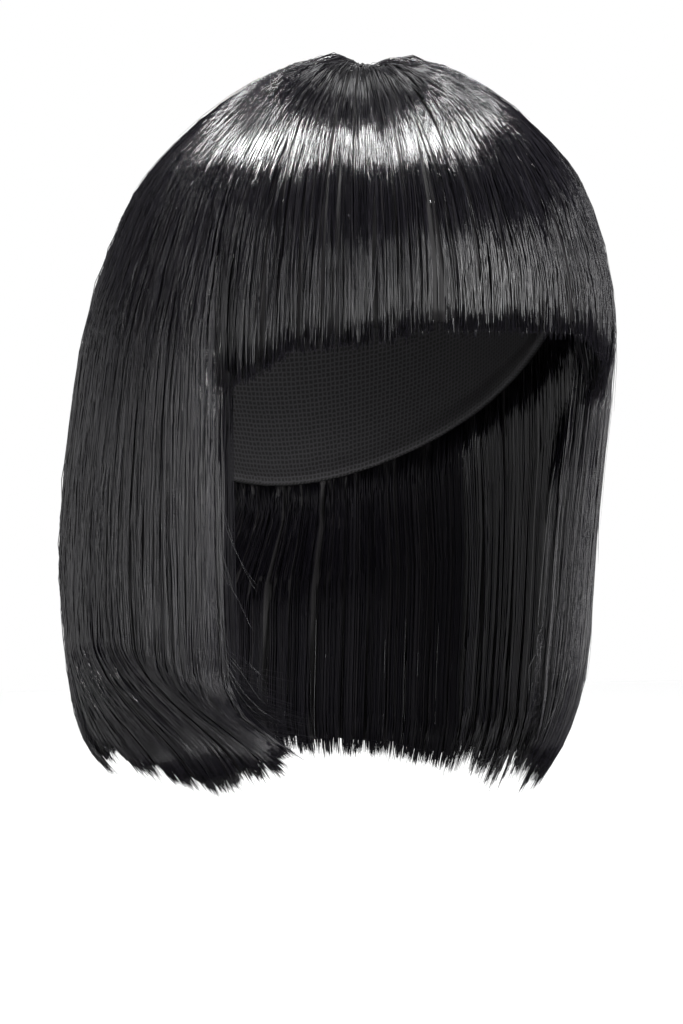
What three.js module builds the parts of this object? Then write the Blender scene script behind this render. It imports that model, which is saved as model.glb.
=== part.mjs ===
// A short bob wig with a full fringe: a sewn cap, and the sections of hair that hang from it.
// Millimetres. +Z is up, the open front looks along -Y and +X is the wearer's left. The origin is the top of
// the cap's inside. Directions round the wig are degrees from the front: they fall through the wearer's
// right, at -90, and the back, at -180, to the left, at -270.
import * as THREE from "three";
import { mergeVertices } from "three/addons/utils/BufferGeometryUtils.js";

// Driving sizes
const CAP_WALL = 1.4;
const GAP = 0.4; // between neighbouring pieces
const CAP_CLEARANCE = 1.4; // between the cap and the hair on it
const LOCK_CLEARANCE = 1.3; // between a side section and its inner lock
const FRINGE_EDGE = 57; // degrees from the front, where the fringe ends and a side section begins
const BACK_EDGE = 126; // degrees from the front, where a side section ends and the back section begins
const FRINGE_TUCK = 8; // how far the ends of the fringe sink under the side sections
const TUCK_SPAN = 14; // degrees over which they sink
const ROLL_DEPTH = 6; // how far a side section's front edge rolls in
const ROLL_SPAN = 8; // degrees over which it rolls
const SINK_TOP = -60; // height at which the tuck and the roll begin
const SINK_RUN = 40; // how far down they are complete
const WHORL_RADIUS = 2; // the pit that all the hair leaves from
const FLARE = 20; // height under the cap's rim in which the hair leaves the cap
const ROW_CLEARANCE = 7; // a table row this near to a hem or rim gives way to it
const LOCK_DEPTH = 5.5; // thickness of an inner lock
const LOCK_TOP = -119; // height of its upper end
const LOCK_END = -226; // and of its lower end

// Inside of the cap, from the top down
const CAP_FORM = [
  { z: 0, right: 0, left: 0, front: 0, back: 0 },
  { z: -2, right: 20, left: 20, front: 22, back: 23 },
  { z: -10, right: 41, left: 41, front: 46, back: 49 },
  { z: -26, right: 59, left: 59, front: 68, back: 73 },
  { z: -48, right: 70, left: 70, front: 84, back: 89 },
  { z: -76, right: 74, left: 74, front: 91, back: 95 },
  { z: -105, right: 74, left: 74, front: 91, back: 91 },
  { z: -130, right: 72, left: 72, front: 88, back: 82 },
  { z: -155, right: 69, left: 69, front: 84, back: 72 },
];

// Outside of the hair. dip is how much lower the hair lies in the front and back than at the sides
const HAIR_FORM = [
  { z: 7, right: 2, left: 2, front: 2, back: 2, dip: 2 },
  { z: 13, right: 9, left: 14, front: 11, back: 11, dip: 5 },
  { z: 11, right: 19, left: 27, front: 24, back: 25, dip: 3.5 },
  { z: 3.5, right: 37, left: 42, front: 42, back: 45, dip: 1.5 },
  { z: -15, right: 61, left: 64, front: 70, back: 75, dip: 0 },
  { z: -37, right: 80, left: 80, front: 90, back: 95, dip: 0 },
  { z: -67, right: 93, left: 89, front: 104, back: 109, dip: 0 },
  { z: -89, right: 100, left: 92, front: 107, back: 113, dip: 0 },
  { z: -111, right: 104, left: 91, front: 106, back: 115, dip: 0 },
  { z: -152, right: 109, left: 87, front: 96, back: 116, dip: 0 },
  { z: -189, right: 110, left: 85, front: 92, back: 115, dip: 0 },
  { z: -219, right: 107, left: 82, front: 88, back: 110, dip: 0 },
  { z: -237, right: 103, left: 77, front: 81, back: 103, dip: 0 },
  { z: -248, right: 97, left: 72, front: 74, back: 96, dip: 0 },
  { z: -258, right: 87, left: 66, front: 65, back: 85, dip: 0 },
];

// Lower edge of the cap, from the front to the back, the same on both sides
const CAP_RIM = [
  { deg: 0, z: -42 },
  { deg: 180, z: -146 },
];

// Lower edge of the fringe, longer at the temples
const FRINGE_HEM = [
  { deg: -57, z: -115 },
  { deg: -50, z: -111 },
  { deg: -36, z: -100 },
  { deg: -19, z: -97.5 },
  { deg: -15, z: -93.5 },
  { deg: 24, z: -93 },
  { deg: 40, z: -101 },
  { deg: 57, z: -118 },
];

// Lower edge of the sides and back, with the notches between locks
const BOB_HEM = [
  { deg: -57, z: -243 },
  { deg: -68, z: -251 },
  { deg: -86, z: -258 },
  { deg: -98, z: -252 },
  { deg: -106, z: -245 },
  { deg: -107.5, z: -234 },
  { deg: -113, z: -252.5 },
  { deg: -119, z: -247 },
  { deg: -145, z: -247 },
  { deg: -180, z: -251 },
  { deg: -234, z: -250 },
  { deg: -262, z: -257 },
  { deg: -276, z: -251 },
  { deg: -288, z: -259 },
  { deg: -303, z: -250 },
];

// How many degrees hair swings towards the right front near its tips, and between which heights
const SWING = [
  { deg: -57, by: 20, start: -221, end: -256 },
  { deg: -80, by: 20, start: -199, end: -248 },
  { deg: -95, by: 20, start: -204, end: -249 },
  { deg: -105, by: 16, start: -206, end: -250 },
  { deg: -108, by: 5, start: -200, end: -256 },
  { deg: -126, by: 4, start: -190, end: -256 },
  { deg: -234, by: 0, start: -165, end: -256 },
  { deg: -303, by: -3, start: -165, end: -256 },
];

const FIBRE = new THREE.MeshStandardMaterial({ color: 0x16151a, roughness: 0.35, metalness: 0 });
const NET = new THREE.MeshStandardMaterial({ color: 0x1c1b1e, roughness: 0.85, metalness: 0 });

const radians = THREE.MathUtils.degToRad;
const clamp01 = (value) => THREE.MathUtils.clamp(value, 0, 1);
const turn = (deg) => THREE.MathUtils.euclideanModulo(deg + 180, 360) - 180;

// The two rows of a table on either side of a value of its key, and how far between them that is.
function bracket(table, key, at) {
  const rising = table[1][key] > table[0][key];
  const next = table.findIndex((row) => (rising ? row[key] >= at : row[key] <= at));
  const high = next < 0 ? table.length - 1 : Math.max(next, 1);
  const [a, b] = [table[high - 1], table[high]];
  return { a, b, share: (at - a[key]) / (b[key] - a[key]) };
}

// Height of a rim or hem in a direction round the wig, eased from row to row.
function edgeHeight(edge, deg) {
  const { a, b, share } = bracket(edge, "deg", deg);
  return THREE.MathUtils.lerp(a.z, b.z, THREE.MathUtils.smoothstep(share, 0, 1));
}

const rimHeight = (deg) => edgeHeight(CAP_RIM, Math.abs(turn(deg)));

// A row of a form at any height below its crown.
function rowAt(form, z) {
  const { a, b, share } = bracket(form.slice(3), "z", z);
  const row = { z, dip: 0 };
  for (const column of ["right", "left", "front", "back"]) {
    row[column] = THREE.MathUtils.lerp(a[column], b[column], share);
  }
  return row;
}

// Distance from the axis to a row's outline, an ellipse with its own half width in each quarter.
function reach(row, deg) {
  const side = turn(deg) < 0 ? row.right : row.left;
  const along = Math.abs(turn(deg)) < 90 ? row.front : row.back;
  if (side === 0) return 0;
  return 1 / Math.hypot(Math.sin(radians(deg)) / side, Math.cos(radians(deg)) / along);
}

function place(deg, radius, z) {
  return new THREE.Vector3(radius * Math.sin(radians(deg)), -radius * Math.cos(radians(deg)), z);
}

// A form's rows above a lower edge, ending in a row at that edge.
function rowsDownTo(form, edge) {
  return [...form.filter((row) => row.z > edge + ROW_CLEARANCE), rowAt(form, edge)];
}

// Where a line of hair that leaves the crown at deg has swung to at height z.
function swung(deg, z) {
  const { a, b, share } = bracket(SWING, "deg", deg);
  const between = (column) => THREE.MathUtils.lerp(a[column], b[column], clamp01(share));
  return deg + between("by") * THREE.MathUtils.smoothstep(-z, -between("start"), -between("end"));
}

// How deep a section's outer face lies under the form of the hair: the ends of the fringe tuck under, and the
// front edges of the sides roll in. Both grow down the temples.
function sunk(section, deg, z) {
  const grown = clamp01((SINK_TOP - z) / SINK_RUN);
  const from_edge = Math.abs(turn(deg)) - FRINGE_EDGE;
  if (section.tucks) return grown * FRINGE_TUCK * clamp01(1 + from_edge / TUCK_SPAN) ** 2;
  if (!section.rolls) return 0;
  const into = clamp01(1 - from_edge / ROLL_SPAN);
  return grown * ROLL_DEPTH * (1 - Math.sqrt(1 - into ** 2));
}

// Evenly spaced points down a line of flow, in the plane of its radius and height.
function spaced(points, steps) {
  return new THREE.CatmullRomCurve3(points).getSpacedPoints(steps);
}

// A line down the cap, offset outwards from its inside.
function capLine(deg, offset, steps) {
  const rim = rimHeight(deg);
  const points = rowsDownTo(CAP_FORM, rim).map((row) => new THREE.Vector3(reach(row, deg), row.z, 0));
  const curve = new THREE.CatmullRomCurve3(points);
  return Array.from({ length: steps + 1 }, (_, step) => {
    const along = step === 0 ? new THREE.Vector3(1, 0, 0) : curve.getTangentAt(step / steps);
    const out = new THREE.Vector3(-along.y, along.x, 0).multiplyScalar(offset);
    return curve.getPointAt(step / steps).add(out);
  });
}

function outerLine(section, deg) {
  const hem = edgeHeight(section.hem, deg);
  const points = rowsDownTo(HAIR_FORM, hem).map((row) => {
    const radius = reach(row, swung(deg, row.z)) - sunk(section, deg, row.z);
    return new THREE.Vector3(radius, row.z - row.dip * Math.cos(radians(deg)) ** 2, 0);
  });
  return spaced(points, section.steps);
}

// The inner face lies on the cap, flares away from it under its rim and hangs inside the outer face.
function innerLine(section, deg) {
  const hem = edgeHeight(section.hem, deg);
  const rim = rimHeight(deg);
  const on_cap = capLine(deg, CAP_WALL + CAP_CLEARANCE, 10);
  on_cap[0].x = WHORL_RADIUS;
  const hanging = rowsDownTo(HAIR_FORM, hem)
    .filter((row) => row.z < rim - FLARE || row.z === hem)
    .map((row) => {
      const wall = row.z === hem ? section.hem_wall : section.wall;
      const radius = reach(row, swung(deg, row.z)) - sunk(section, deg, row.z) - wall;
      return new THREE.Vector3(radius, row.z, 0);
    });
  return spaced([...on_cap, ...hanging], section.steps);
}

// An inner lock hangs against the inside of its side section, under the cap's rim.
function lockLine(lock, deg, depth) {
  const carrier = innerLine(lock.carrier, deg);
  const from = carrier.findIndex((point) => point.y < LOCK_TOP);
  const to = carrier.findIndex((point) => point.y < LOCK_END);
  const points = carrier.slice(from, to).map((point, step, all) => {
    const taper = Math.sin((Math.PI * (step + 0.6)) / (all.length + 0.2)) ** 0.5;
    return new THREE.Vector3(point.x - LOCK_CLEARANCE - depth * taper, point.y, 0);
  });
  return spaced(points, lock.steps);
}

// A closed wall between two grids of points, each a list of columns. around joins the last to the first.
function wallGeometry(outer, inner, around) {
  const columns = outer.length;
  const rows = outer[0].length;
  const points = [...outer.flat(), ...inner.flat()];
  const out = (column, row) => (column % columns) * rows + row;
  const into = (column, row) => columns * rows + out(column, row);
  const index = [];
  const quad = (a, b, c, d) => index.push(a, b, c, a, c, d);
  const last = rows - 1;
  for (let i = 0; i < (around ? columns : columns - 1); i++) {
    for (let j = 0; j < last; j++) {
      quad(out(i, j), out(i, j + 1), out(i + 1, j + 1), out(i + 1, j));
      quad(into(i, j), into(i + 1, j), into(i + 1, j + 1), into(i, j + 1));
    }
    quad(out(i, 0), out(i + 1, 0), into(i + 1, 0), into(i, 0));
    quad(out(i, last), into(i, last), into(i + 1, last), out(i + 1, last));
  }
  if (!around) {
    for (let j = 0; j < last; j++) {
      quad(out(0, j), into(0, j), into(0, j + 1), out(0, j + 1));
      const end = columns - 1;
      quad(out(end, j), out(end, j + 1), into(end, j + 1), into(end, j));
    }
  }
  const geometry = new THREE.BufferGeometry().setFromPoints(points).setIndex(index);
  return withoutSlivers(mergeVertices(geometry, 1e-3));
}

// Drops the triangles that collapsed when points were merged, as at the top of the cap.
function withoutSlivers(geometry) {
  const corners = Array.from(geometry.index.array);
  const kept = [];
  for (let i = 0; i < corners.length; i += 3) {
    const [a, b, c] = corners.slice(i, i + 3);
    if (a !== b && b !== c && c !== a) kept.push(a, b, c);
  }
  geometry.setIndex(kept);
  geometry.computeVertexNormals();
  return geometry;
}

// Directions from one edge of a section to the other. A power over 1 crowds them to the first edge.
function directions(section) {
  const { from, to, columns, crowding } = section;
  return Array.from({ length: columns + 1 }, (_, i) => from + (to - from) * (i / columns) ** crowding);
}

function mesh(name, geometry, material) {
  const made = new THREE.Mesh(geometry, material);
  made.name = name;
  return made;
}

function wigCap() {
  const columns = 44;
  const steps = 11;
  const faces = [CAP_WALL, 0].map((offset) =>
    Array.from({ length: columns }, (_, i) => {
      const deg = (360 * i) / columns;
      return capLine(deg, offset, steps).map((point) => place(deg, point.x, point.y));
    }),
  );
  return mesh("wig_cap", wallGeometry(faces[0], faces[1], true), NET);
}

// A section's wall. Its two edges stand half a gap inside the directions they are given.
function sectionWall(section, outer, inner) {
  const span = section.to - section.from;
  const faces = [outer, inner].map((line) =>
    directions(section).map((deg) => {
      const inset = Math.sign(span) * GAP * (0.5 - (deg - section.from) / span);
      return line(section, deg).map((point) => {
        const at = swung(deg, point.y);
        return place(at, point.x, point.y).add(place(at + 90, inset, 0));
      });
    }),
  );
  const facing = span > 0 ? faces : faces.map((columns) => columns.reverse());
  return mesh(section.name, wallGeometry(facing[0], facing[1], false), FIBRE);
}

const FRINGE = {
  name: "fringe",
  from: -FRINGE_EDGE,
  to: FRINGE_EDGE,
  hem: FRINGE_HEM,
  wall: 9,
  hem_wall: 4,
  columns: 24,
  steps: 14,
  crowding: 1,
  tucks: true,
};

const RIGHT_SIDE = {
  name: "right_side_hair",
  from: -FRINGE_EDGE,
  to: -BACK_EDGE,
  hem: BOB_HEM,
  wall: 13,
  hem_wall: 5,
  columns: 16,
  steps: 20,
  crowding: 1.4,
  rolls: true,
};

const LEFT_SIDE = {
  name: "left_side_hair",
  from: -360 + FRINGE_EDGE,
  to: -360 + BACK_EDGE,
  hem: BOB_HEM,
  wall: 11,
  hem_wall: 5,
  columns: 16,
  steps: 20,
  crowding: 1.4,
  rolls: true,
};

const BACK = {
  name: "back_hair",
  from: -BACK_EDGE,
  to: -360 + BACK_EDGE,
  hem: BOB_HEM,
  wall: 14,
  hem_wall: 5,
  columns: 20,
  steps: 20,
  crowding: 1,
};

const LOCKS = [
  { name: "right_inner_lock", from: -FRINGE_EDGE - 1, to: -80, carrier: RIGHT_SIDE },
  { name: "left_inner_lock", from: -360 + FRINGE_EDGE + 1, to: -280, carrier: LEFT_SIDE },
].map((lock) => ({
  ...lock,
  columns: 6,
  steps: 10,
  crowding: 1,
}));

const wig = new THREE.Group();
wig.add(wigCap());
for (const section of [FRINGE, RIGHT_SIDE, LEFT_SIDE, BACK]) {
  wig.add(sectionWall(section, outerLine, innerLine));
}
for (const lock of LOCKS) {
  wig.add(
    sectionWall(
      lock,
      (section, deg) => lockLine(section, deg, 0),
      (section, deg) => lockLine(section, deg, LOCK_DEPTH),
    ),
  );
}

export default wig;
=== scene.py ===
"""A short black bob wig: strands of glossy fibre over dark cores, hanging from a net cap."""

from collections import namedtuple

import bpy
import numpy as np
from mathutils import Matrix, Vector


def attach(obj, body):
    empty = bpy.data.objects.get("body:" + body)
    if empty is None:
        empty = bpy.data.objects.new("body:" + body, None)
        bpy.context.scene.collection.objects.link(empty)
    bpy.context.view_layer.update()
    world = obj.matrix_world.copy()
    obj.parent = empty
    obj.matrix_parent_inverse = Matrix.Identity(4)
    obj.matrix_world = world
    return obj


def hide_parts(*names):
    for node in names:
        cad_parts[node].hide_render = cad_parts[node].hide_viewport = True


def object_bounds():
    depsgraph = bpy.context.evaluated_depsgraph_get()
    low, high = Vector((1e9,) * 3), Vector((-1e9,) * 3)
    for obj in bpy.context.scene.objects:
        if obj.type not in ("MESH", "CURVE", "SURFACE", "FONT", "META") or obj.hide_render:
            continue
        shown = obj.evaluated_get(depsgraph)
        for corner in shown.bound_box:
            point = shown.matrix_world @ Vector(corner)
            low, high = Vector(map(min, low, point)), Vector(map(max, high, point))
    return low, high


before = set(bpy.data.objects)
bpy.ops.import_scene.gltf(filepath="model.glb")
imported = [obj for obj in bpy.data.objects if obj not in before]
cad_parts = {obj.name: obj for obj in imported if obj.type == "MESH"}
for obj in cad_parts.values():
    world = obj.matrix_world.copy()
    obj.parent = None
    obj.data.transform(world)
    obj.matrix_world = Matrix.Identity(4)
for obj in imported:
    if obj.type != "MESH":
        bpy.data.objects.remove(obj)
cad_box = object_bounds()

MM = 0.001

# The form, in millimetres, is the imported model's, but for tips that hang lower at the left of the back.
# Directions round the wig are degrees from the front (-Y): they fall through the wearer's right, at -90, and
# the back, at -180, to the left, at -270.
FRINGE_EDGE = 57
BACK_EDGE = 126
# How deep the fringe's ends tuck under and the sides' front edges roll in, over how many degrees, and the
# height at which that starts and the run over which it grows
FRINGE_TUCK, TUCK_SPAN = 8, 14
ROLL_DEPTH, ROLL_SPAN = 6, 8
SINK_TOP, SINK_RUN = -60, 40
CAP_WALL = 1.4
# The inner face of the hair lies this far off the cap, leaves it over this run below the rim, and comes
# nearer to the outer face over this run above the hem
CAP_GAP = 1
FLARE = 45
THIN_RUN = 40

# Outside of the hair, from the whorl down: half widths each way, and how much lower it is in front and behind
FormRow = namedtuple("FormRow", "z right left front back dip", defaults=[0])
HALF_WIDTHS = ("right", "left", "front", "back")
HAIR_FORM = [
    FormRow(7, 2, 2, 2, 2, 2),
    FormRow(13, 9, 14, 11, 11, 5),
    FormRow(11, 19, 27, 24, 25, 3.5),
    FormRow(3.5, 37, 42, 42, 45, 1.5),
    FormRow(-15, 61, 64, 70, 75),
    FormRow(-37, 80, 80, 90, 95),
    FormRow(-67, 93, 89, 104, 109),
    FormRow(-89, 100, 92, 107, 113),
    FormRow(-111, 104, 91, 106, 115),
    FormRow(-152, 109, 87, 96, 116),
    FormRow(-189, 110, 85, 92, 115),
    FormRow(-219, 107, 82, 88, 110),
    FormRow(-237, 103, 77, 81, 103),
    FormRow(-248, 97, 72, 74, 96),
    FormRow(-258, 87, 66, 65, 85),
    FormRow(-268, 77, 60, 56, 74),
]

# Inside of the cap, from the top down
CAP_FORM = [
    FormRow(0, 0.01, 0.01, 0.01, 0.01),
    FormRow(-2, 20, 20, 22, 23),
    FormRow(-10, 41, 41, 46, 49),
    FormRow(-26, 59, 59, 68, 73),
    FormRow(-48, 70, 70, 84, 89),
    FormRow(-76, 74, 74, 91, 95),
    FormRow(-105, 74, 74, 91, 91),
    FormRow(-130, 72, 72, 88, 82),
    FormRow(-155, 69, 69, 84, 72),
]

# Lower edges
Edge = namedtuple("Edge", "deg z")
CAP_RIM = [Edge(0, -42), Edge(180, -146)]
FRINGE_HEM = [
    Edge(-57, -115), Edge(-50, -111), Edge(-36, -100), Edge(-19, -97.5),
    Edge(-15, -93.5), Edge(24, -93), Edge(40, -101), Edge(57, -118),
]
BOB_HEM = [
    Edge(-303, -250), Edge(-288, -259), Edge(-276, -251), Edge(-262, -257),
    Edge(-234, -256), Edge(-205, -251), Edge(-145, -247), Edge(-119, -247),
    Edge(-113, -252.5), Edge(-107.5, -234), Edge(-106, -245), Edge(-98, -252),
    Edge(-86, -258), Edge(-68, -251), Edge(-57, -243),
]

# How many degrees hair swings towards the right front near its tips, and between which heights
Swing = namedtuple("Swing", "deg by start end")
SWING = [
    Swing(-303, -3, -165, -256),
    Swing(-234, 0, -165, -256),
    Swing(-126, 4, -190, -256),
    Swing(-108, 5, -200, -256),
    Swing(-105, 16, -206, -250),
    Swing(-95, 20, -204, -249),
    Swing(-80, 20, -199, -248),
    Swing(-57, 20, -221, -256),
]

# A section's directions, lower edge, thickness, thickness at the hem, and what its edges do
Section = namedtuple("Section", "name node start end hem wall hem_wall tucks rolls", defaults=[False, False])
FRINGE = Section("fringe", "fringe", -FRINGE_EDGE, FRINGE_EDGE, FRINGE_HEM, 9, 4, tucks=True)
RIGHT = Section("right", "right_side_hair", -FRINGE_EDGE, -BACK_EDGE, BOB_HEM, 13, 5, rolls=True)
LEFT = Section("left", "left_side_hair", FRINGE_EDGE - 360, BACK_EDGE - 360, BOB_HEM, 11, 5, rolls=True)
BACK = Section("back", "back_hair", -BACK_EDGE, BACK_EDGE - 360, BOB_HEM, 14, 5)


# Form

def eased(low, high, x):
    """A smooth step from 0 at low to 1 at high."""
    share = np.clip((x - low) / (high - low), 0, 1)
    return share * share * (3 - 2 * share)


def turn(deg):
    """The same direction between -180 and 180."""
    return (np.asarray(deg, float) + 180) % 360 - 180


def reach(row, deg):
    """Distance from the axis to a row's outline, an ellipse with its own half width in each quarter."""
    s, c = np.sin(np.radians(deg)), np.cos(np.radians(deg))
    side = np.where(s < 0, row.right, row.left)
    along = np.where(c > 0, row.front, row.back)
    return 1 / np.hypot(s / side, c / along)


def swung(deg, z):
    """Where hair that leaves the crown at deg has swung to at height z."""
    falling = np.where(turn(deg) > 0, turn(deg) - 360, turn(deg))
    degs, *columns = zip(*SWING)
    by, start, end = (np.interp(falling, degs, column) for column in columns)
    return deg + by * eased(-start, -end, -z)


def edge_height(edge, deg):
    degs = np.array([p.deg for p in edge], float)
    heights = np.array([p.z for p in edge], float)
    high = np.clip(np.searchsorted(degs, deg), 1, len(edge) - 1)
    share = eased(degs[high - 1], degs[high], deg)
    return heights[high - 1] + (heights[high] - heights[high - 1]) * share


def rim_height(deg):
    return edge_height(CAP_RIM, np.abs(turn(deg)))


def smooth_line(points, per_span=16):
    """A centripetal Catmull-Rom line through points, an array of rows by (radius, height)."""
    padded = np.vstack([2 * points[0] - points[1], points, 2 * points[-1] - points[-2]])
    share = np.linspace(0, 1, per_span, endpoint=False)[:, None]
    spans = []
    for p0, p1, p2, p3 in zip(padded, padded[1:], padded[2:], padded[3:]):
        d0, d1, d2 = (max(np.hypot(*(b - a)) ** 0.5, 1e-4) for a, b in ((p0, p1), (p1, p2), (p2, p3)))
        out = ((p1 - p0) / d0 - (p2 - p0) / (d0 + d1) + (p2 - p1) / d1) * d1
        into = ((p2 - p1) / d1 - (p3 - p1) / (d1 + d2) + (p3 - p2) / d2) * d1
        square = 3 * (p2 - p1) - 2 * out - into
        cube = 2 * (p1 - p2) + out + into
        spans.append(p1 + out * share + square * share**2 + cube * share**3)
    return np.vstack(spans + [points[-1:]])


def by_length(line, steps):
    """The same line as evenly spaced points, and its length."""
    run = np.concatenate([[0], np.cumsum(np.hypot(*np.diff(line, axis=0).T))])
    even = np.linspace(0, run[-1], steps + 1)
    return np.column_stack([np.interp(even, run, column) for column in line.T]), run[-1]


LINE_DEGREES = np.arange(-180, 181, 2)
LINE_STEPS = 240
SHARES = np.linspace(0, 1, LINE_STEPS + 1)
# Shares below the crown, where every line falls, and the share over which a line's slope is taken each way
FALLING_SHARES = np.linspace(0.15, 1, 120)
SLOPE_SHARE = 0.004


def flow_lines():
    """Lines of flow from the whorl past the hem: radius and height by direction and step, and lengths."""
    lines, lengths = [], []
    for deg in LINE_DEGREES:
        drop = np.cos(np.radians(deg)) ** 2
        points = np.array([(reach(row, swung(deg, row.z)), row.z - row.dip * drop) for row in HAIR_FORM])
        line, length = by_length(smooth_line(points), LINE_STEPS)
        lines.append(line)
        lengths.append(length)
    return np.array(lines), np.array(lengths)


LINES, LENGTHS = flow_lines()


def line_length(deg):
    return np.interp(turn(deg), LINE_DEGREES, LENGTHS)


def along_lines(values, deg, t):
    """A value kept for each step of the flow lines, at a share t down the one that starts at deg."""
    deg, t = np.broadcast_arrays(turn(deg), t)
    column = (deg - LINE_DEGREES[0]) / (LINE_DEGREES[1] - LINE_DEGREES[0])
    row = np.clip(t, 0, 1) * LINE_STEPS
    c0 = np.clip(column.astype(int), 0, len(LINE_DEGREES) - 2)
    r0 = np.clip(row.astype(int), 0, LINE_STEPS - 1)
    fc, fr = (column - c0)[..., None], (row - r0)[..., None]
    upper = values[c0, r0] * (1 - fc) + values[c0 + 1, r0] * fc
    lower = values[c0, r0 + 1] * (1 - fc) + values[c0 + 1, r0 + 1] * fc
    return upper * (1 - fr) + lower * fr


def on_line(deg, t):
    """Radius and height on a flow line."""
    return along_lines(LINES, deg, t)


def sunk(section, deg, z):
    """How far under the form a section's face lies where the fringe tucks under and the sides roll in."""
    grown = np.clip((SINK_TOP - z) / SINK_RUN, 0, 1)
    from_edge = np.abs(turn(deg)) - FRINGE_EDGE
    if section.tucks:
        return grown * FRINGE_TUCK * np.clip(1 + from_edge / TUCK_SPAN, 0, None) ** 2
    if section.rolls:
        return grown * ROLL_DEPTH * (1 - np.sqrt(1 - np.clip(1 - from_edge / ROLL_SPAN, 0, 1) ** 2))
    return 0 * z


def place(section, deg, t, depth):
    """Points in metres at a depth under a section's face."""
    here = on_line(deg, t)
    along = on_line(deg, t + SLOPE_SHARE) - on_line(deg, t - SLOPE_SHARE)
    along /= np.linalg.norm(along, axis=-1, keepdims=True)
    radius = here[..., 0] + along[..., 1] * depth - sunk(section, deg, here[..., 1])
    height = here[..., 1] - along[..., 0] * depth
    at = np.radians(swung(deg, height))
    return np.stack([radius * np.sin(at), -radius * np.cos(at), height], axis=-1) * MM


def share_at_height(deg, z):
    """How far down their flow lines hair that leaves the crown at deg comes to height z, below the crown."""
    deg, z = np.broadcast_arrays(np.asarray(deg, float), z)
    heights = on_line(deg[..., None], FALLING_SHARES)[..., 1]
    below = np.argmax(heights <= z[..., None], axis=-1)
    below = np.where(heights[..., -1] > z, len(FALLING_SHARES) - 1, np.maximum(below, 1))
    pick = np.ogrid[tuple(slice(n) for n in deg.shape)]
    z0, z1 = heights[(*pick, below - 1)], heights[(*pick, below)]
    t0, t1 = FALLING_SHARES[below - 1], FALLING_SHARES[below]
    return t0 + (t1 - t0) * np.clip((z - z0) / (z1 - z0), 0, 1)


def cap_depths():
    """How deep the outside of the cap lies under each step of the flow lines."""
    depths = []
    for deg, line in zip(LINE_DEGREES, LINES):
        inside = smooth_line(np.array([(reach(row, deg), row.z) for row in CAP_FORM]))
        apart = np.linalg.norm(line[:, None] - inside, axis=-1)
        depths.append(apart.min(axis=1) - CAP_WALL)
    return np.array(depths)[..., None]


CAP_DEPTHS = cap_depths()


def inner_depth(section, deg, t):
    """Depth of a section's inner face, which lies on the cap down to its rim and then hangs clear of it."""
    height = on_line(deg, t)[..., 1]
    on_cap = along_lines(CAP_DEPTHS, deg, t)[..., 0] - CAP_GAP
    near_hem = eased(THIN_RUN, 0, height - edge_height(section.hem, deg))
    hang = section.wall + (section.hem_wall - section.wall) * near_hem
    return on_cap + (hang - on_cap) * eased(0, FLARE, rim_height(deg) - height)


def cap_reach(deg, z):
    """Distance from the axis to the inside of the cap."""
    rising = CAP_FORM[::-1]
    heights = [row.z for row in rising]
    widths = {name: np.interp(z, heights, [getattr(row, name) for row in rising]) for name in HALF_WIDTHS}
    return reach(FormRow(z=z, **widths), deg)


# Meshes

SIDES = 3
STRAND_UV, WALL_UV = "OFBake", "flow"


def new_mesh(name, points, faces, uvs, uv_name, material):
    """A mesh object from arrays. Faces are rows of corners, smooth quads or flat triangles, a UV a corner."""
    mesh = bpy.data.meshes.new(name)
    corners = np.concatenate([block.ravel() for block in faces])
    sizes = np.concatenate([np.full(len(block), block.shape[1]) for block in faces])
    mesh.vertices.add(len(points))
    mesh.vertices.foreach_set("co", np.asarray(points, np.float32).ravel())
    mesh.loops.add(len(corners))
    mesh.loops.foreach_set("vertex_index", corners.astype(np.int32))
    mesh.polygons.add(len(sizes))
    mesh.polygons.foreach_set("loop_start", np.concatenate([[0], np.cumsum(sizes)[:-1]]).astype(np.int32))
    mesh.polygons.foreach_set("use_smooth", sizes > SIDES)
    layer = mesh.uv_layers.new(name=uv_name)
    layer.data.foreach_set("uv", np.concatenate([block.reshape(-1) for block in uvs]).astype(np.float32))
    mesh.update(calc_edges=True)
    mesh.validate()
    mesh.materials.append(material)
    made = bpy.data.objects.new(name, mesh)
    bpy.context.scene.collection.objects.link(made)
    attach(made, "root")
    return made


Batch = namedtuple("Batch", "centres widths tones")
TONES = 96
# A tube's UVs: the part of its tone's cell that its sides take up, the rows they span, and where its ends lie
CELL_START, CELL_SPAN = 0.15, 0.7
SIDE_ROWS = (0.02, 0.98)
END_ROWS = (0.005, 0.985)
END_HALF, END_TALL = 0.002, 0.01


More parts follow.
